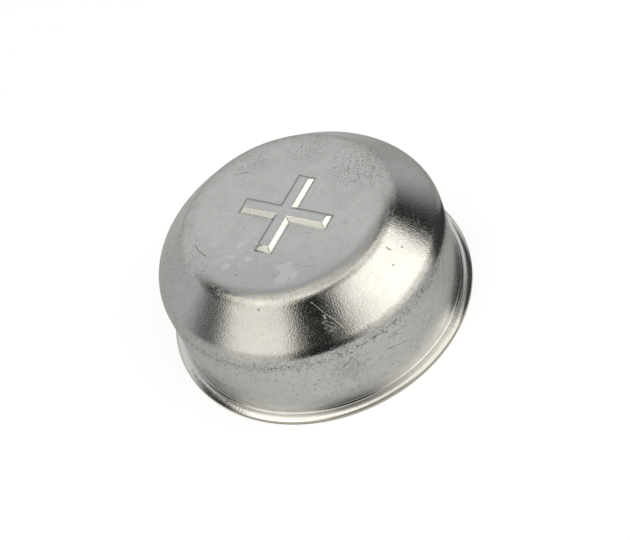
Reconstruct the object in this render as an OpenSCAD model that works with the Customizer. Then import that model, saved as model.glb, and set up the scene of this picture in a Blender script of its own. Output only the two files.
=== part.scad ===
// Hub grease cap, drawn from one blank of sheet steel.
// The origin is the centre of the rim's flat underside, and +Z points to the closed end.
// The sheet keeps one thickness all the way, so inside and outside bends share their centres.

/* [Sheet] */
// Thickness of the sheet
sheet_t = 1.1; // [0.7:0.1:1.8]

/* [Rim] */
// Outer diameter of the rim, across its cut edge
rim_d = 64.5; // [52:0.1:90]
// Width of the rim, from the wall out to the cut edge
rim_w = 2.2; // [1.4:0.1:7]
// Bend radius where the rim turns out of the wall, on the outside
root_r = 0.7; // [0.3:0.1:1.6]
// Radius that the cutting die leaves on the upper edge of the rim
edge_r = 0.3; // [0.1:0.1:0.9]

/* [Wall, cone and top] */
// Height of the corner where the wall meets the cone
wall_h = 18.2; // [8:0.1:40]
// Bend radius at that corner, on the outside
shoulder_r = 4.8; // [2.2:0.1:12]
// Height of the cone, from that corner to the flat top
cone_h = 8.3; // [4:0.1:25]
// Diameter of the corner where the cone meets the flat top
top_d = 43; // [30:0.5:56]
// Bend radius at that corner, on the outside
crown_r = 3.2; // [2.2:0.1:7]

/* [Stiffening bead] */
// Length of each of the two crossed arms, over the ends
bead_span = 20; // [10:0.5:34]
// Width of an arm at its foot
bead_w = 3.8; // [3:0.1:7]
// Height of the bead above the flat top
bead_h = 0.9; // [0.3:0.1:1.2]
// Slope of the bead's flanks, in degrees from the flat top
bead_slope = 45; // [40:1:75]

/* [Hidden] */
$fn = 120;
zinc = [0.72, 0.72, 0.70];
rim_r = rim_d / 2;
wall_r = rim_r - rim_w;
top_r = top_d / 2;
cap_h = wall_h + cone_h;
cone_slope = atan2(cone_h, wall_r - top_r);
shoulder_turn = 90 - cone_slope;
crown_turn = cone_slope;
// The cone's straights lie this far inside the bends, so that each pair meets in one line
lap = 0.001;
root_centre = [wall_r + root_r, sheet_t + root_r];
shoulder_centre = [wall_r - shoulder_r, wall_h - shoulder_r * tan(shoulder_turn / 2)];
crown_centre = [top_r - crown_r * tan(crown_turn / 2), cap_h - crown_r];

// Half outline of the drawn cup, at a depth in from its outer face
module cup_outline(depth) {
    shoulder_bend = shoulder_r - depth;
    crown_bend = crown_r - depth;
    off_cone = [cos(shoulder_turn), sin(shoulder_turn)];
    polygon([
        [0, 0],
        [wall_r - depth, 0],
        [wall_r - depth, shoulder_centre.y],
        shoulder_centre + (shoulder_bend - lap) * off_cone,
        crown_centre + (crown_bend - lap) * off_cone,
        [crown_centre.x, cap_h - depth],
        [0, cap_h - depth]
    ]);
    translate(shoulder_centre)
        circle(r = shoulder_bend);
    translate(crown_centre)
        circle(r = crown_bend);
}

// Half outline of the rim plate, with the fillet up to the wall and the rolled edge
module rim_outline() {
    square([rim_r - edge_r, sheet_t]);
    square([rim_r, sheet_t - edge_r]);
    translate([rim_r - edge_r, sheet_t - edge_r])
        circle(r = edge_r);
    difference() {
        translate([wall_r - sheet_t, 0])
            square([root_r + sheet_t, root_centre.y]);
        translate(root_centre)
            circle(r = root_r);
    }
}

// Half outline of the flared mouth below the straight bore
module mouth_outline() {
    difference() {
        square(root_centre);
        translate(root_centre)
            circle(r = root_r + sheet_t);
    }
}

// Cross-shaped bead with sloping flanks and ends, reaching down by a bite below its foot
module bead(bite) {
    for (turn = [0, 90])
        rotate([0, 0, turn])
            intersection() {
                bead_ridge(bead_span, bead_w, bite);
                rotate([0, 0, 90])
                    bead_ridge(bead_w, bead_span, bite);
            }
}

// Flat-topped ridge, width by its section and length along X
module bead_ridge(length, width, bite) {
    half = width / 2;
    run = bead_h / tan(bead_slope);
    rotate([90, 0, 90])
        linear_extrude(height = length, center = true)
            polygon([
                [-half, -bite],
                [half, -bite],
                [half, 0],
                [half - run, bead_h],
                [run - half, bead_h],
                [-half, 0]
            ]);
}

module cap_shell() {
    color(zinc)
        difference() {
            union() {
                rotate_extrude()
                    difference() {
                        union() {
                            cup_outline(0);
                            rim_outline();
                        }
                        cup_outline(sheet_t);
                        mouth_outline();
                    }
                translate([0, 0, cap_h])
                    bead(sheet_t / 2);
            }
            translate([0, 0, cap_h - sheet_t])
                bead(sheet_t / 2);
        }
}

cap_shell();
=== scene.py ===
import math

import bmesh
import bpy
from bpy.props import FloatProperty, FloatVectorProperty, IntProperty, PointerProperty
from mathutils import Matrix, Vector


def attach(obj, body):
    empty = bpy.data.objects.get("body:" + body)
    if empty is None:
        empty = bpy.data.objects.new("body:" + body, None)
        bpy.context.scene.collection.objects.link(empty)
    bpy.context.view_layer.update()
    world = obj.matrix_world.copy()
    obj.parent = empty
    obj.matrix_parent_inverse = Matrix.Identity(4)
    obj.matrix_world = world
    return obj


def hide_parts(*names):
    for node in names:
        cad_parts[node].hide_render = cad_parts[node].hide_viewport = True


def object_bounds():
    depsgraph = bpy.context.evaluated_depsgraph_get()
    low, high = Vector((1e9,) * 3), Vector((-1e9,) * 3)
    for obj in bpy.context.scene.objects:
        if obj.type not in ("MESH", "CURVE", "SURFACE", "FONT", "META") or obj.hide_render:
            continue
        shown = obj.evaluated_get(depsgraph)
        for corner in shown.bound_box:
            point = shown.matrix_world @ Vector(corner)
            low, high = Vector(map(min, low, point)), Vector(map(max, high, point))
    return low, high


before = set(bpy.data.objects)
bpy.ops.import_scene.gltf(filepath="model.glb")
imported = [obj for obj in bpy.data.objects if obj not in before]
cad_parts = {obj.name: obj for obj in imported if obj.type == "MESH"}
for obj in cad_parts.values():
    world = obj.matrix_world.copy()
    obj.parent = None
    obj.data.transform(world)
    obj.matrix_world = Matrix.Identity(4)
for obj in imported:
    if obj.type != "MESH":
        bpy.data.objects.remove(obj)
cad_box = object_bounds()

bl_info = {
    "name": "Drawn hub cap",
    "version": (1, 0, 0),
    "blender": (4, 5, 0),
    "location": "3D View > Sidebar > Hub cap",
    "description": "Models a zinc-plated sheet-steel hub grease cap around its packed frame",
    "category": "Object",
}

MM = 0.001
SHELL_NODE = "cap_shell"
CUT_EDGE = min(cad_box[1].xy)

# Marks are a start, an end and a width in mm: along and up on wall and cone, X and Y on the top
WALL_MARKS = [
    ((0.6, 14.0), (-1.5, 12.3), 0.2), ((9.0, 13.7), (12.0, 13.0), 0.17),
    ((8.0, 13.3), (10.0, 12.8), 0.15), ((18.3, 8.5), (15.9, 7.0), 0.16),
    ((-9.3, 15.4), (-9.5, 14.0), 0.17), ((19.8, 24.75), (19.9, 24.3), 0.24),
    ((-15.6, 25.3), (-15.5, 25.2), 0.22), ((-6.6, 15.7), (-6.5, 15.6), 0.3),
    ((-6.6, 10.6), (-6.5, 10.5), 0.25), ((1.0, 11.3), (1.1, 11.2), 0.25),
    ((6.9, 11.0), (8.6, 10.2), 0.14), ((9.0, 10.0), (11.0, 9.2), 0.14),
]
TOP_MARKS = [
    ((-15.7, 7.1), (-14.3, 8.1), 0.13), ((-14.3, 8.1), (-12.6, 8.3), 0.13),
    ((-15.0, -11.7), (-13.3, -13.0), 0.14), ((-13.3, -13.0), (-11.2, -13.8), 0.14),
]
SCRAPES = [
    ((-2.7, 25.1), (0.5, 21.8), 0.08), ((0.5, 21.8), (1.4, 20.3), 0.065),
    ((-1.4, 23.0), (-1.0, 22.4), 0.075), ((-1.0, 22.9), (-1.3, 22.5), 0.075),
]
# Places on the top, in mm, where plate has flaked
FLAKES = [(-3.3, -10.4, 0.0), (-5.6, -14.8, 0.0), (7.0, -13.5, 0.0)]


def length(name, description, millimetres):
    """A length property, given in millimetres."""
    return FloatProperty(name=name, description=description, default=millimetres * MM,
                         unit="LENGTH", subtype="DISTANCE", precision=5)


def colour(name, description, value):
    """A plain colour property."""
    return FloatVectorProperty(name=name, description=description, default=value,
                               subtype="COLOR", size=3, min=0.0, max=1.0)


def angle(name, description, degrees):
    """An angle property, given in degrees."""
    return FloatProperty(name=name, description=description, default=math.radians(degrees),
                         unit="ROTATION", subtype="ANGLE")


class CapSizes(bpy.types.PropertyGroup):
    """Sizes of the drawn shell."""

    rim_radius: FloatProperty(name="Rim radius", description="Radius at the rim's cut edge",
                              default=CUT_EDGE, unit="LENGTH", precision=5)
    rim_width: length("Rim width", "From the wall out to the cut edge", 2.2)
    sheet: length("Sheet", "Thickness of the sheet", 1.1)
    root_bend: length("Root bend", "Bend between rim and wall, outside", 0.6)
    land_flat: length("Land flat", "Width of the flat part of the rim's upper face", 0.1)
    land_fall: angle("Land fall", "Slope of the rim's upper face at its outer edge", 30.0)
    edge_roll: length("Edge roll", "Radius on the rim's upper edge", 0.12)
    burr: length("Burr", "Radius on the rim's lower edge", 0.07)
    wall_height: length("Wall height", "Height of the corner of wall and cone", 18.2)
    shoulder_bend: length("Shoulder bend", "Bend between wall and cone, outside", 4.8)
    cone_height: length("Cone height", "From that corner to the flat top", 8.3)
    top_radius: length("Top radius", "Radius at the corner of cone and top", 21.5)
    crown_bend: length("Crown bend", "Tight part of the bend between cone and top, outside", 3.3)
    crown_ease: length("Crown ease", "Radius by which that bend eases into the flat top", 14.0)
    ease_slope: angle("Ease slope", "Slope of the surface where the easing starts", 11.0)
    bead_span: length("Bead span", "Length of each arm of the cross bead", 20.0)
    bead_width: length("Bead width", "Width of an arm at its foot", 3.8)
    bead_height: length("Bead height", "Height of the bead", 0.895)
    bead_border: length("Bead border", "Flat margin kept round the bead's foot", 0.7)
    bead_edge: length("Bead edge", "Width of the rounding on the bead's edges", 0.24)
    waver: length("Waver", "How far the sheet strays from its true form", 0.09)
    waver_span: length("Waver span", "Size of the stray waves", 13.0)
    segments: IntProperty(name="Segments", description="Sides of each ring", default=288, min=48, max=512)


class ZincFinish(bpy.types.PropertyGroup):
    """Colours and gloss of the zinc plate."""

    plate: colour("Plate", "Colour of the clean plate", (0.72, 0.725, 0.72))
    # The dull colour serves the real clouding and also the painted shade on the front of the top
    dull_and_shade: colour("Dull plate", "Colour of the clouded patches", (0.62, 0.625, 0.625))
    straw: colour("Straw tint", "Warm tint of the plate on the bends", (0.66, 0.635, 0.555))
    rubbed: colour("Rubbed rim", "Colour of the rim's rubbed edge", (0.9, 0.9, 0.88))
    smudge: colour("Smudge", "Colour of the smudge on the wall", (0.47, 0.46, 0.435))
    pale: colour("Pale flakes", "Colour of the flakes on the top", (0.87, 0.875, 0.87))
    bare: colour("Bare steel", "Colour of the rim's cut edge", (0.74, 0.69, 0.58))
    # The grime colour darkens real pits and marks, and also paints shade at the bead's foot and along the
    # cut edge
    grime_and_shade: colour("Grime", "Colour in the pits", (0.10, 0.10, 0.095))
    roughness: FloatProperty(name="Roughness", description="Roughness of the clean plate",
                             default=0.13, min=0.0, max=1.0, subtype="FACTOR")


class StudioSet(bpy.types.PropertyGroup):
    """Camera, floor and light."""

    azimuth: angle("Azimuth", "Camera direction from the cap, counter-clockwise from +X", -45.0)
    elevation: angle("Elevation", "Camera height above the floor", 47.447)
    roll: angle("Roll", "Turn of the camera about its own axis", -24.003)
    distance: length("Distance", "From the camera to its aim", 313.66)
    aim: FloatVectorProperty(name="Aim", description="Point in the middle of the view", size=3,
                             default=(2.03 * MM, -0.80 * MM, 10.16 * MM), subtype="XYZ", unit="LENGTH")
    lens: FloatProperty(name="Lens", description="Focal length in millimetres on a 36 mm sensor",
                        default=87.62, min=10.0, max=300.0)
    floor: colour("Floor", "Colour of the floor", (0.38, 0.388, 0.395))
    warm: colour("Warm light", "Colour of the soft boxes", (1.0, 0.965, 0.88))
    cool: colour("Cool light", "Colour of the sweep and the room", (0.985, 1.0, 0.985))


class Signal:
    """A node's output that takes part in plain arithmetic."""

    def __init__(self, board, socket):
        self.board = board
        self.socket = socket

    def __add__(self, other):
        return self.board.maths("ADD", self, other)

    def __sub__(self, other):
        return self.board.maths("SUBTRACT", self, other)

    def __mul__(self, other):
        return self.board.maths("MULTIPLY", self, other)

    def __truediv__(self, other):
        return self.board.maths("DIVIDE", self, other)

    def __radd__(self, other):
        return self.board.maths("ADD", other, self)

    def __rsub__(self, other):
        return self.board.maths("SUBTRACT", other, self)

    def __rmul__(self, other):
        return self.board.maths("MULTIPLY", other, self)

    def __rtruediv__(self, other):
        return self.board.maths("DIVIDE", other, self)

    def __abs__(self):
        return self.board.maths("ABSOLUTE", self)


class Board:
    """A node tree on which signals are wired up."""

    def __init__(self, tree):
        self.tree = tree
        tree.nodes.clear()

    def node(self, kind, settings=None, inputs=None):
        """Adds a node, sets it up, and fills its sockets with values or links."""
        made = self.tree.nodes.new(kind)
        for key, value in (settings or {}).items():
            setattr(made, key, value)
        for key, value in (inputs or {}).items():
            if isinstance(value, Signal):
                self.tree.links.new(value.socket, made.inputs[key])
            else:
                made.inputs[key].default_value = value
        return made

    def read(self, kind, output, settings=None, inputs=None):
        """Adds a node and gives one of its outputs."""
        return Signal(self, self.node(kind, settings, inputs).outputs[output])

    def maths(self, operation, *values):
        return self.read("ShaderNodeMath", 0, {"operation": operation}, dict(enumerate(values)))

    def vector(self, operation, *values):
        output = "Value" if operation in ("LENGTH", "DOT_PRODUCT", "DISTANCE") else "Vector"
        return self.read("ShaderNodeVectorMath", output, {"operation": operation}, dict(enumerate(values)))

    def scaled(self, vector, factor):
        return self.read("ShaderNodeVectorMath", "Vector", {"operation": "SCALE"}, {
            "Vector": vector, "Scale": factor})

    def apart(self, first, second):
        """Distance between two points."""
        return self.vector("DISTANCE", first, second)

    def ramp(self, value, low, high, start=0.0, stop=1.0):
        """Eases from start to stop as the value goes from low to high."""
        return self.read("ShaderNodeMapRange", "Result", {"interpolation_type": "SMOOTHSTEP"}, {
            "Value": value, "From Min": low, "From Max": high, "To Min": start, "To Max": stop})

    def fade(self, value, low, high):
        """Eases from 1 to 0 as the value goes from low to high."""
        return self.ramp(value, low, high, start=1.0, stop=0.0)

    def blend(self, factor, first, second):
        """Mixes two colours."""
        return self.read("ShaderNodeMix", 2, {"data_type": "RGBA"}, {0: factor, 6: first, 7: second})

    def noise(self, vector, scale, detail=2.0, roughness=0.5, distortion=0.0):
        return self.read("ShaderNodeTexNoise", "Fac", {}, {
            "Vector": vector, "Scale": scale, "Detail": detail, "Roughness": roughness,
            "Distortion": distortion})

    def parts(self, vector):
        """The three parts of a vector."""
        return [Signal(self, part) for part in self.node("ShaderNodeSeparateXYZ", {}, {0: vector}).outputs]

    def joined(self, x, y, z):
        return self.read("ShaderNodeCombineXYZ", 0, {}, {0: x, 1: y, 2: z})

    def drawn_out(self, vector, degrees, length):
        """A plane, turned and drawn out along its new X."""
        return self.read("ShaderNodeMapping", "Vector", {"vector_type": "TEXTURE"}, {
            "Vector": vector, "Rotation": (0, 0, math.radians(degrees)), "Scale": (length, 1, 1)})

    def cells(self, vector, scale):
        """Distance from the middle of each random cell, and a random value for the cell."""
        cell = self.node("ShaderNodeTexVoronoi", {}, {"Vector": vector, "Scale": scale})
        return Signal(self, cell.outputs["Distance"]), self.parts(Signal(self, cell.outputs["Color"]))[0]

    def hairs(self, vector, scale, width, sparse):
        """Fine broken lines: where a noise is near its middle, kept only in patches."""
        near = abs(self.noise(vector, scale, 1.0, 0.5, 0.3) - 0.5)
        return self.fade(near, width * 0.3, width) * self.ramp(
            self.noise(vector, scale * 1.7, 1.0), sparse, sparse + 0.08)

    def dots(self, vector, scale, size, share):
        """Round spots of different sizes in a share of the cells."""
        gap, chance = self.cells(vector, scale)
        reach = (chance - (1 - share)) * (size * scale / share)
        return self.fade(gap - reach, -0.4 * size * scale, 0.0)

    def stroke(self, plane, start, end, width):
        """A single line between two points of a plane."""
        start, run = Vector((*start, 0)), Vector((end[0] - start[0], end[1] - start[1], 0))
        offset = self.vector("SUBTRACT", plane, start)
        share = self.vector("DOT_PRODUCT", offset, run / run.length_squared)
        share = self.maths("MINIMUM", self.maths("MAXIMUM", share, 0.0), 1.0)
        gap = self.vector("LENGTH", self.vector("SUBTRACT", offset, self.scaled(tuple(run), share)))
        return self.fade(gap, width * 0.4, width)

    def most(self, *values):
        """The greatest of several signals."""
        best = values[0]
        for value in values[1:]:
            best = self.maths("MAXIMUM", best, value)
        return best


def blank_material(name):
    """A new material and the board for its nodes."""
    material = bpy.data.materials.new(name)
    material.use_nodes = True
    return material, Board(material.node_tree)


def opaque(rgb):
    """A colour with full alpha."""
    return (*rgb, 1.0)


def deselect():
    """Leaves nothing selected."""
    bpy.ops.object.select_all(action="DESELECT")


def enter(piece):
    """Makes one piece active and opens it in edit mode."""
    deselect()
    piece.select_set(True)
    bpy.context.view_layer.objects.active = piece
    bpy.ops.object.mode_set(mode="EDIT")


def leave():
    bpy.ops.object.mode_set(mode="OBJECT")


def pick_edges(piece, test):
    """Selects the edges of an open piece that pass a test."""
    bpy.ops.mesh.select_all(action="DESELECT")
    bpy.ops.mesh.select_mode(type="EDGE")
    sheet = bmesh.from_edit_mesh(piece.data)
    for edge in sheet.edges:
        edge.select_set(test(edge))
    bmesh.update_edit_mesh(piece.data)


def middle(edge):
    return (edge.verts[0].co + edge.verts[1].co) / 2


def bend(centre, radius, start, stop, steps):
    """Points round a bend, between two directions in radians."""
    turns = [start + (stop - start) * step / steps for step in range(steps + 1)]
    return [(centre[0] + radius * math.cos(turn), centre[1] + radius * math.sin(turn)) for turn in turns]


def straight(start, stop, steps):
    """Points between two ends, without the ends."""
    run, rise = stop[0] - start[0], stop[1] - start[1]
    shares = [step / steps for step in range(1, steps)]
    return [(start[0] + run * share, start[1] + rise * share) for share in shares]


def rim_land(sizes, flat_end):
    """Points up the rolled edge and in over the falling part of the rim's upper face."""
    roll, fall = sizes.edge_roll, sizes.land_fall
    radius = (sizes.rim_radius - roll * (1 - math.sin(fall)) - flat_end) / math.sin(fall)
    land = (flat_end, sizes.sheet - radius)
    edge = (sizes.rim_radius - roll, land[1] + (radius - roll) * math.cos(fall))
    meet = math.pi / 2 - fall
    return bend(edge, roll, 0, meet, 6) + bend(land, radius, meet, math.pi / 2, 8)[1:]


def section(sizes, depth):
    """Half section of one face of the sheet, from the cut edge to the flat top: depth 0 is the outside."""
    wall = sizes.rim_radius - sizes.rim_width
    top = sizes.wall_height + sizes.cone_height
    slope = math.atan2(sizes.cone_height, wall - sizes.top_radius)
    turn = math.pi / 2 - slope
    shoulder = (wall - sizes.shoulder_bend, sizes.wall_height - sizes.shoulder_bend * math.tan(turn / 2))
    ease_turn = math.pi / 2 - sizes.ease_slope
    gap = sizes.crown_ease - sizes.crown_bend
    drop = sizes.crown_ease - gap * math.sin(ease_turn)
    crown_x = sizes.top_radius - (sizes.crown_bend - drop * math.sin(turn)) / math.cos(turn)
    crown = (crown_x, top - drop)
    ease = (crown_x - gap * math.cos(ease_turn), top - sizes.crown_ease)
    root = (wall + sizes.root_bend, sizes.sheet + sizes.root_bend)
    if depth:
        edge = bend((sizes.rim_radius - sizes.burr, sizes.burr), sizes.burr, 0, -math.pi / 2, 3)
    else:
        edge = rim_land(sizes, root[0] + sizes.land_flat)
    root_arc = bend(root, sizes.root_bend + depth, 1.5 * math.pi, math.pi, 10)
    shoulder_arc = bend(shoulder, sizes.shoulder_bend - depth, 0, turn, 16)
    crown_arc = bend(crown, sizes.crown_bend - depth, turn, ease_turn, 11)
    crown_arc += bend(ease, sizes.crown_ease - depth, ease_turn, math.pi / 2, 5)[1:]
    rim_flat = straight(edge[-1], root_arc[0], 3)
    wall_run = straight(root_arc[-1], shoulder_arc[0], 12)
    cone_run = straight(shoulder_arc[-1], crown_arc[0], 9)
    top_run = straight(crown_arc[-1], (0, crown_arc[-1][1]), 24)[:9]
    return edge + rim_flat + root_arc + wall_run + shoulder_arc + cone_run + crown_arc + top_run


def turned_skin(outline, segments):
    """Draws a ring out of a circle again and again, along a half section."""
    radius, height = outline[0]
    deselect()
    bpy.ops.mesh.primitive_circle_add(vertices=segments, radius=radius, location=(0, 0, height))
    skin = bpy.context.object
    enter(skin)
    bpy.ops.mesh.select_all(action="SELECT")
    for wider, narrower in zip(outline, outline[1:]):
        shrink = narrower[0] / wider[0]
        bpy.ops.mesh.extrude_edges_move(TRANSFORM_OT_translate={"value": (0, 0, narrower[1] - wider[1])})
        bpy.ops.transform.resize(value=(shrink, shrink, 1), center_override=(0, 0, 0))
    leave()
    return skin


def inside_edge(edge):
    """Whether an edge touches no open edge."""
    return not any(fold.is_boundary for vert in edge.verts for fold in vert.link_edges)


def cross_plate(sizes, height):
    """Presses the cross bead into a plate of its own outline."""
    width = sizes.bead_width + 2 * sizes.bead_border
    arm = (sizes.bead_span - sizes.bead_width) / 2
    deselect()
    bpy.ops.mesh.primitive_plane_add(size=width, location=(0, 0, height))
    plate = bpy.context.object
    enter(plate)
    for way in (Vector((1, 0, 0)), Vector((0, 1, 0)), Vector((-1, 0, 0)), Vector((0, -1, 0))):
        pick_edges(plate, lambda edge, way=way: (middle(edge) - way * width / 2).length < width / 100)
        bpy.ops.mesh.extrude_edges_move(TRANSFORM_OT_translate={"value": way * arm})
    bpy.ops.mesh.select_all(action="SELECT")
    bpy.ops.mesh.dissolve_faces()
    bpy.ops.mesh.normals_make_consistent(inside=False)
    bpy.ops.mesh.inset(thickness=sizes.bead_border, depth=0)
    bpy.ops.mesh.inset(thickness=sizes.bead_height, depth=sizes.bead_height)
    pick_edges(plate, inside_edge)
    bpy.ops.mesh.bevel(offset=sizes.bead_edge, offset_type="OFFSET", segments=4, profile=0.5,
                       affect="EDGES")
    leave()
    return plate


def join(first, second):
    """Joins the second piece into the first."""
    deselect()
    second.select_set(True)
    first.select_set(True)
    bpy.context.view_layer.objects.active = first
    bpy.ops.object.join()
    return first


def skin_with_bead(sizes, depth):
    """One face of the sheet, turned and with its bead pressed in."""
    outline = section(sizes, depth)
    skin = turned_skin(outline, sizes.segments)
    plate = cross_plate(sizes, outline[-1][1])
    skin = join(skin, plate)
    enter(skin)
    inner_edge = outline[-1][0] + sizes.sheet / 2
    pick_edges(skin, lambda edge: edge.is_boundary and middle(edge).xy.length < inner_edge)
    bpy.ops.mesh.fill(use_beauty=True)
    bpy.ops.mesh.select_all(action="SELECT")
    bpy.ops.mesh.normals_make_consistent(inside=False)
    if depth:
        bpy.ops.mesh.flip_normals()
    leave()
    return skin


def apply_place(piece):
    """Puts the piece's place into its mesh, with its object at the origin."""
    deselect()
    piece.select_set(True)
    bpy.context.view_layer.objects.active = piece
    bpy.ops.object.transform_apply(location=True, rotation=True, scale=True)


def stray(piece, sizes):
    """Lets the sheet stray a little from its true form, but keeps the rim and the bead true."""
    loose = piece.vertex_groups.new(name="loose")
    fixed_below = 2 * sizes.sheet
    fixed_within = 0.66 * sizes.bead_span
    for vertex in piece.data.vertices:
        from_rim = 2 * (vertex.co.z - fixed_below) / sizes.waver_span
        from_bead = 4 * (vertex.co.xy.length - fixed_within) / sizes.waver_span
        loose.add([vertex.index], min(max(min(from_rim, from_bead), 0.0), 1.0), "REPLACE")
    waves = bpy.data.textures.new("press_waves", "CLOUDS")
    waves.cloud_type = "COLOR"
    waves.noise_scale = sizes.waver_span
    waves.noise_depth = 1
    shift = piece.modifiers.new("waver", "DISPLACE")
    shift.texture = waves
    shift.texture_coords = "LOCAL"
    shift.direction = "RGB_TO_XYZ"
    shift.space = "LOCAL"
    shift.mid_level = 0.5
    shift.strength = sizes.waver
    shift.vertex_group = loose.name
    bpy.ops.object.modifier_apply(modifier=shift.name)
    piece.vertex_groups.clear()


def drawn_shell(sizes):
    """Models the whole shell: two skins joined at the rim's cut edge."""
    outside = skin_with_bead(sizes, 0)
    inside = skin_with_bead(sizes, sizes.sheet)
    shell = join(outside, inside)
    shell.name = "drawn_cap"
    shell.data.name = "drawn_cap"
    enter(shell)
    pick_edges(shell, lambda edge: edge.is_boundary)
    bpy.ops.mesh.bridge_edge_loops(number_cuts=1)
    leave()
    apply_place(shell)
    stray(shell, sizes)
    bpy.ops.object.shade_smooth_by_angle(angle=math.radians(40))
    even = shell.modifiers.new("even_shading", "WEIGHTED_NORMAL")
    even.keep_sharp = True
    bpy.ops.object.modifier_apply(modifier=even.name)
    return shell


def zinc_plate(finish, sizes):
    """Bright zinc plate with clouding, draw lines, scratches and pits, and painted shade on the top's
    front, at the bead's foot and along the cut edge: lengths are in mm.
    """
    material, board = blank_material("zinc_plate")
    top_height = (sizes.wall_height + sizes.cone_height) / MM
    edge_radius = sizes.rim_radius / MM
    belt = 28

    # Places: round the cap at the belt's radius, up, and across the top
    point = board.scaled(board.read("ShaderNodeTexCoord", "Object"), 1 / MM)
    x, y, z = board.parts(point)
    flat = board.vector("MULTIPLY", point, (1, 1, 0))
    radius = board.vector("LENGTH", flat)
    around = board.maths("ARCTAN2", x + y, x - y) * belt
    side = board.joined(around, z, 0.0)
    spoke = board.scaled(flat, belt / board.maths("MAXIMUM", radius, 1.0))

    # Parts of the cap
    top = board.ramp(z, 25.9, 26.3)
    crown = board.ramp(radius, 18.4, 20.0) * board.fade(radius, 21.8, 23.4)
    crown = crown * board.ramp(z, 24, 25)
    shoulder = board.ramp(z, 14.6, 16.2) * board.fade(z, 18.2, 20.4)
    wall = board.fade(z, 15.4, 16.4)
    rim = board.fade(z, 2.0, 2.6)
    cut = board.ramp(radius, edge_radius - 0.12, edge_radius - 0.06)

    # Grain and clouding
    grain = board.noise(point, 3.1, 2.5, 0.62)
    frost = board.ramp(board.noise(point, 2.9, 3.0, 0.75), 0.54, 0.66) * (1 - board.most(top, rim))
    draw = board.noise(board.vector("ADD", spoke, board.joined(0.0, 0.0, z * 0.35)), 1.9, 2.0, 0.65)
    ticks = board.noise(spoke, 2.4, 2.0, 0.7)
    clouds = board.ramp(board.noise(point, 0.22, 4.0, 0.62), 0.4, 0.66)
    blots = board.noise(point, 0.85, 3.0, 0.7)

    # Scuffs, hairs, pits and marks, and painted shade along the bead's foot
    rough_top = board.most(
        board.fade(board.apart(point, (9.5, 16.0, top_height)), 3.0, 9.0),
        board.ramp(board.apart(point, (-4.0, 18.0, top_height)), 1.0, 7.0, 0.8, 0.0),
        board.ramp(board.apart(point, (-14.0, 11.5, top_height)), 2.0, 6.0, 0.7, 0.0),
        crown * board.ramp(blots, 0.42, 0.6) * 0.7)
    wander = z + (blots - 0.5) * 5
    corner = board.ramp(wander, 14.4, 15.6) * board.fade(wander, 16.0, 18.4)
    crackle = board.most(
        board.hairs(board.drawn_out(side, 8, 2.2), 2.1, 0.06, 0.45),
        board.hairs(board.drawn_out(side, 50, 2.0), 1.9, 0.055, 0.48)) * (shoulder * 0.4 + corner * 0.8)
    worn = board.most(
        board.hairs(board.drawn_out(flat, 65, 3), 1.9, 0.05, 0.47),
        board.hairs(board.drawn_out(flat, 140, 2.5), 2.1, 0.05, 0.5)) * rough_top
    specks = board.dots(point, 1.4, 0.15, 0.5) * board.most(shoulder, rough_top, wall * 0.6, 0.3)
    scuffs = board.most(crackle, worn, specks)
    long_hairs = board.most(
        board.hairs(board.drawn_out(flat, 25, 7), 0.6, 0.014, 0.56),
        board.hairs(board.drawn_out(flat, 110, 6), 0.5, 0.014, 0.58)) * top
    short_hairs = board.most(
        board.hairs(board.drawn_out(side, 25, 3), 1.5, 0.04, 0.54),
        board.hairs(board.drawn_out(side, 128, 3), 1.3, 0.03, 0.59)) * board.ramp(z, 3.0, 4.5)
    left = board.fade(around, -42, -28)
    short_hairs = short_hairs * board.most(board.ramp(z, 18.0, 20.0, 1.0, 0.2), left) * (1 - top)
    pits = board.dots(point, 0.4, 0.24, 0.2)
    shaky = board.vector("ADD", side, board.scaled(board.joined(grain - 0.5, blots - 0.5, 0.0), 1.2))
    marks = board.most(*(board.stroke(shaky, *mark) for mark in WALL_MARKS))
    marks = board.most(marks * board.ramp(frost, 0.0, 1.0, 1.0, 0.35),
                       *(board.stroke(flat, *mark) * top for mark in TOP_MARKS))
    bright = board.most(*(board.stroke(side, *mark) for mark in SCRAPES))
    bright = bright * board.ramp(grain, 0.4, 0.56, 0.4, 1.0)
    scrape = board.apart(side, (-0.7, 21.3, 0.0)) + (blots - 0.5) * 7
    scrape = board.fade(scrape, 0.5, 1.3)
    scrape = scrape * board.ramp(board.noise(board.drawn_out(side, -35, 4), 3.4, 2.0), 0.42, 0.56) * 0.7
    arm = board.maths("MINIMUM", abs(x), abs(y)) - sizes.bead_width / MM / 2
    tip = board.maths("MAXIMUM", abs(x), abs(y)) - sizes.bead_span / MM / 2
    # Painted shade: a dark line in the crease at the bead's foot, blended in with the grime colour
    foot = board.fade(abs(board.most(arm, tip)), 0.06, 0.24) * top
    foot = foot * board.ramp(grain, 0.4, 0.6, 0.35, 1.0)

    fine = board.most(scuffs, long_hairs * 0.35, short_hairs * 0.85)
    # Real pits, marks and scuffs, and also the painted shade at the bead's foot
    dirt_and_shade = board.most(fine * 0.5, crackle * corner * 0.8, pits * 0.75, marks * 0.6, foot * 0.6)
    open_grain = board.most(scuffs * 0.8, long_hairs * 0.5, short_hairs * 0.7, bright, scrape, frost * 0.45)

    # Flakes, smudge, tint, and painted shade on the front of the top
    ragged = board.vector("ADD", point, board.scaled(board.joined(blots, grain, 0.0), 0.5))
    flakes = board.ramp(board.cells(ragged, 0.62)[1], 0.5, 0.52) * top
    flakes = flakes * board.most(*(board.fade(board.apart(flat, spot), 2.3, 3.0) for spot in FLAKES))
    smudge = board.apart(side, (-0.5, 11.0, 0.0)) + (blots - 0.5) * 19
    smudge = board.fade(smudge, 1.5, 4.5) * wall
    straw = board.ramp(board.noise(point, 0.6, 3.0, 0.65), 0.48, 0.66)
    straw = board.most(straw * board.most(shoulder * 0.8, crown * 0.8, 0.3), smudge * 0.5)
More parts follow.
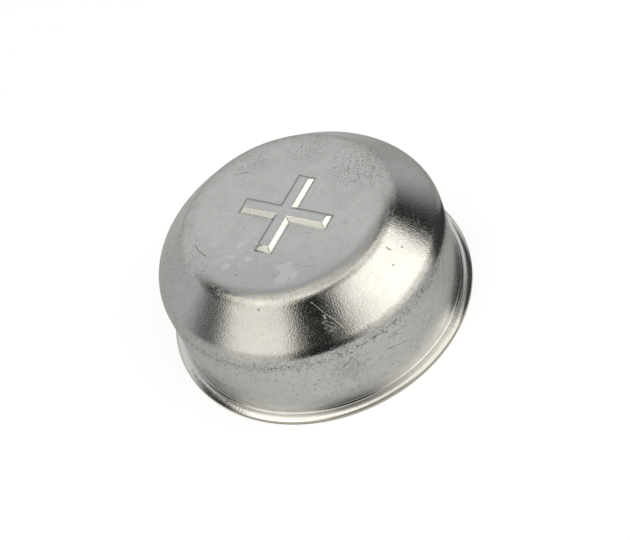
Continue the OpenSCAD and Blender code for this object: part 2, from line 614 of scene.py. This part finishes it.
    # Painted shade: the front half of the top is blended toward the dull colour, standing in for the dark
    # it reflects
    painted_top_shade = board.ramp(board.vector("DOT_PRODUCT", flat, (0.26, -0.97, 0.0)), 5, 16) * top

    # Colour, gloss and relief
    base = board.blend(clouds * 0.5, opaque(finish.plate), opaque(finish.dull_and_shade))
    base = board.blend(board.ramp(blots, 0.42, 0.68) * 0.35, base, opaque(finish.dull_and_shade))
    base = board.blend(painted_top_shade, base, opaque(finish.dull_and_shade))
    base = board.blend(straw, base, opaque(finish.straw))
    base = board.blend(smudge * 0.5, base, opaque(finish.smudge))
    base = board.blend(board.ramp(radius, 30.5, 31.0) * rim, base, opaque(finish.rubbed))
    base = board.blend(flakes * 0.55, base, opaque(finish.pale))
    base = board.blend(cut, base, opaque(finish.bare))
    # Painted shade on the cut edge: a painted shadow at its foot and a painted dark line at its top, in the
    # grime colour
    painted_edge_shade = board.most(board.fade(z, 0.12, 0.26), board.ramp(z, 0.6, 0.7) * 0.8) * cut
    base = board.blend(board.most(dirt_and_shade, painted_edge_shade), base, opaque(finish.grime_and_shade))
    low = board.ramp(z, 1.2, 2.0) * board.fade(z, 4.0, 7.0) * board.ramp(around, 14, 23, 1.0, 0.3)
    roughness = finish.roughness + clouds * 0.04 + open_grain * 0.3 + cut * 0.15
    roughness = roughness + flakes * 0.06 + low * 0.25
    height = (grain - 0.5) * (0.036 - board.most(top * 0.024, rim * 0.02))
    height = height + (draw - 0.5) * (1 - top) * 0.003 + (ticks - 0.5) * rim * 0.014
    height = height - fine * 0.006 - board.most(pits, marks, bright * 0.7) * 0.02
    bump = board.read("ShaderNodeBump", "Normal", {}, {"Strength": 1.0, "Distance": MM, "Height": height})
    metal = board.read("ShaderNodeBsdfPrincipled", "BSDF", {}, {
        "Base Color": base, "Metallic": 1.0, "Roughness": roughness, "Normal": bump})
    board.node("ShaderNodeOutputMaterial", {}, {"Surface": metal})
    return material


def dress(piece, material):
    """Gives a piece its one material."""
    piece.data.materials.clear()
    piece.data.materials.append(material)


class CAP_OT_drawn_shell(bpy.types.Operator):
    """Models the drawn shell and gives it its zinc plate"""

    bl_idname = "cap.drawn_shell"
    bl_label = "Drawn shell"

    def execute(self, context):
        sizes = context.scene.cap_sizes
        shell = drawn_shell(sizes)
        dress(shell, zinc_plate(context.scene.cap_finish, sizes))
        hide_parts(SHELL_NODE)
        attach(shell, "root")
        return {"FINISHED"}


def place_camera(studio):
    """Sets up the camera at the photograph's angle."""
    data = bpy.data.cameras.new("camera")
    data.lens = studio.lens
    data.clip_start = 10 * MM
    camera = bpy.data.objects.new("camera", data)
    bpy.context.scene.collection.objects.link(camera)
    away = Vector((math.cos(studio.azimuth), math.sin(studio.azimuth), math.tan(studio.elevation)))
    away.normalize()
    turn = away.to_track_quat("Z", "Y").to_matrix() @ Matrix.Rotation(studio.roll, 3, "Z")
    camera.matrix_world = Matrix.Translation(Vector(studio.aim) + away * studio.distance) @ turn.to_4x4()
    bpy.context.scene.camera = camera


def lay_floor(studio):
    """A pale floor, plain white to the camera but for the shadow, and seen through from below; in the cap's
    reflections it glows, brighter in front and darker at the right, as painted light and shade.
    """
    deselect()
    bpy.ops.mesh.primitive_circle_add(vertices=96, radius=120 * MM, fill_type="NGON")
    floor = bpy.context.object
    floor.name = "floor"
    material, board = blank_material("floor")
    seen = board.read("ShaderNodeLightPath", "Is Camera Ray")
    mirrored = board.read("ShaderNodeLightPath", "Is Glossy Ray")
    matt = board.read("ShaderNodeBsdfDiffuse", "BSDF", {}, {"Color": opaque(studio.floor)})
    spot = board.read("ShaderNodeTexCoord", "Object")
    # Painted light and shade seen only in reflections: the glow is brighter in front and weaker at the
    # right
    in_front = board.ramp(board.vector("DOT_PRODUCT", spot, (0.7, -0.7, 0.0)), -10 * MM, 50 * MM)
    at_right = board.ramp(board.vector("DOT_PRODUCT", spot, (0.7, 0.7, 0.0)), 15 * MM, 50 * MM)
    painted_reflection_glow = mirrored * (0.22 + in_front * 0.165 - at_right * 0.12)
    glow = board.read("ShaderNodeEmission", "Emission", {}, {"Strength": seen * 0.77 + painted_reflection_glow})
    both = board.read("ShaderNodeAddShader", "Shader", {}, {0: matt, 1: glow})
    clear = board.read("ShaderNodeBsdfTransparent", "BSDF")
    below = board.read("ShaderNodeNewGeometry", "Backfacing")
    surface = board.read("ShaderNodeMixShader", "Shader", {}, {0: below, 1: both, 2: clear})
    board.node("ShaderNodeOutputMaterial", {}, {"Surface": surface})
    dress(floor, material)


def stand_flag():
    """A small dark sheet beside the cap, soft at its edges, which only the cap's polish shows: a painted
    dark reflection that casts no shadow and that the camera doesn't see.
    """
    start = Vector((19 * MM, 28.2 * MM, 0))
    run = Vector((29 * MM, -15.2 * MM, 0))
    height = 26 * MM
    deselect()
    bpy.ops.mesh.primitive_plane_add(size=1)
    flag = bpy.context.object
    flag.name = "flag"
    flag.scale = (run.length, height, 1)
    flag.rotation_euler = (math.pi / 2, 0, math.atan2(run.y, run.x))
    flag.location = start + run / 2 + Vector((0, 0, height / 2))
    apply_place(flag)
    material, board = blank_material("flag")
    x, _, z = board.parts(board.scaled(board.read("ShaderNodeTexCoord", "Object"), 1 / MM))
    slope = board.fade(z - (x - 23.0) * 1.15, 6.5, 11.5)
    dark_reflection_mask = slope * board.ramp(z, 2, 6) * board.fade(z, 20, 26) * board.fade(x, 42, 48)
    # Painted dark reflection: a faint glow where the mask is set, clear elsewhere
    matt = board.read("ShaderNodeEmission", "Emission", {}, {"Strength": 0.04})
    clear = board.read("ShaderNodeBsdfTransparent", "BSDF")
    both = board.read("ShaderNodeMixShader", "Shader", {}, {0: dark_reflection_mask, 1: clear, 2: matt})
    board.node("ShaderNodeOutputMaterial", {}, {"Surface": both})
    dress(flag, material)
    flag.visible_camera = False
    flag.visible_diffuse = False
    flag.visible_shadow = False


def light_room(studio):
    """Soft boxes left and right, a bright ceiling and a pale sweep behind, with dark gaps between."""
    world = bpy.data.worlds.new("studio")
    bpy.context.scene.world = world
    world.use_nodes = True
    board = Board(world.node_tree)
    x, y, z = board.parts(board.read("ShaderNodeTexCoord", "Generated"))
    degree = 180 / math.pi
    azimuth = board.maths("ARCTAN2", y, x) * degree
    elevation = board.maths("ARCSINE", z) * degree

    def above(edge, soft):
        """Goes from 0 to 1 at an elevation."""
        return board.ramp(elevation, edge - soft, edge + soft)

    def strip(centre, half, soft, hand):
        """A strip that runs up over the cap: it ends on its own hand, and the front gap cuts the other."""
        side, front = math.radians(centre + 90 * hand), math.radians(centre)
        aside = x * math.cos(side) + y * math.sin(side)
        ahead = x * math.cos(front) + y * math.sin(front)
        facing = board.ramp(azimuth * hand, -57 * hand, 3 - 57 * hand)
        wider = above(47, 5) * (0.05 - hand * 0.05)
        width = board.fade(aside - wider, half - soft, half + soft)
        width = width * board.ramp(aside, -0.75, -0.65)
        return width * facing * board.ramp(ahead, -0.05, 0.05)

    behind = board.maths("MAXIMUM", (y - x) * math.sqrt(0.5), 0.05)
    aside = board.maths("WRAP", azimuth - 140.5, 180.0, -180.0)
    sweep = board.fade(aside, 62, 74) * board.ramp(aside, -80, -50)
    sweep = sweep * board.fade(z / behind, 1.16, 1.36)
    sweep = sweep * (0.445 + board.maths("MAXIMUM", elevation, 0.0) * 0.0046)
    right = strip(12, 0.515, 0.06, 1) * (0.95 + above(18, 13) * 0.67 - above(44, 9) * 0.66)
    right = right * board.ramp(azimuth, -48, 8, 0.55, 1.0)
    left = strip(-107, 0.37, 0.05, -1) * (0.7 + above(22, 9) * 0.34 + above(55, 10) * 0.18)
    across = (x + y) * math.sqrt(0.5)
    ceiling = board.ramp(elevation - across * 10.5, 57.5, 63.0) * (0.82 - across * 1.15)
    spill = board.most(board.ramp(across, 0.15, 0.4) * above(49, 3) * 0.24,
                       board.ramp(abs(across), 0.18, 0.27, 0.46, 0.0) * above(49, 3))
    spill = spill * board.ramp(y - x, 0.1, 0.3)
    lamps = board.most(left, right, ceiling)
    low_wall = (0.075 + (1 - above(10, 9)) * 0.4) * (1 - above(32, 8)) * board.ramp(azimuth, -118, -128)
    sweep = board.most(sweep, low_wall, spill)
    from_dark = abs(azimuth + 61 - elevation * 0.1) - elevation * 0.085
    dark = board.fade(from_dark, 12, 25) * (1 - above(69, 6))
    overhead = board.fade(abs(across), 0.2, 0.4) * above(62, 3) * (1 - above(76, 4))
    overhead = overhead * board.ramp(x - y, 0.15, 0.3)
    strength = board.most(lamps, sweep) * (1 - board.most(dark, overhead * 0.75)) + 0.014
    seen = board.read("ShaderNodeLightPath", "Is Camera Ray")
    warmth = board.ramp(lamps - sweep, 0.0, 0.2) * (1 - seen)
    final = strength + seen * (1 - strength)
    tint = board.blend(warmth, opaque(studio.cool), opaque(studio.warm))
    glow = board.read("ShaderNodeBackground", "Background", {}, {
        "Color": board.blend(seen, tint, (1.0, 1.0, 1.0, 1.0)), "Strength": final})
    board.node("ShaderNodeOutputWorld", {}, {"Surface": glow})


class CAP_OT_studio(bpy.types.Operator):
    """Sets up the camera, the floor and the light"""

    bl_idname = "cap.studio"
    bl_label = "Studio"

    def execute(self, context):
        studio = context.scene.cap_studio
        place_camera(studio)
        lay_floor(studio)
        stand_flag()
        light_room(studio)
        context.scene.view_settings.view_transform = "Standard"
        return {"FINISHED"}


class CAP_PT_workshop(bpy.types.Panel):
    """Lists the steps that make the cap"""

    bl_idname = "CAP_PT_workshop"
    bl_label = "Hub cap"
    bl_space_type = "VIEW_3D"
    bl_region_type = "UI"
    bl_category = "Hub cap"

    def draw(self, context):
        for step in (CAP_OT_drawn_shell, CAP_OT_studio):
            self.layout.operator(step.bl_idname)
        for group in (context.scene.cap_sizes, context.scene.cap_finish, context.scene.cap_studio):
            box = self.layout.box()
            for name in group.__annotations__:
                box.prop(group, name)


CLASSES = (CapSizes, ZincFinish, StudioSet, CAP_OT_drawn_shell, CAP_OT_studio, CAP_PT_workshop)


def register():
    for item in CLASSES:
        bpy.utils.register_class(item)
    bpy.types.Scene.cap_sizes = PointerProperty(type=CapSizes)
    bpy.types.Scene.cap_finish = PointerProperty(type=ZincFinish)
    bpy.types.Scene.cap_studio = PointerProperty(type=StudioSet)


def unregister():
    del bpy.types.Scene.cap_studio
    del bpy.types.Scene.cap_finish
    del bpy.types.Scene.cap_sizes
    for item in reversed(CLASSES):
        bpy.utils.unregister_class(item)


def main():
    register()
    bpy.ops.cap.drawn_shell()
    bpy.ops.cap.studio()


if __name__ == "__main__":
    main()
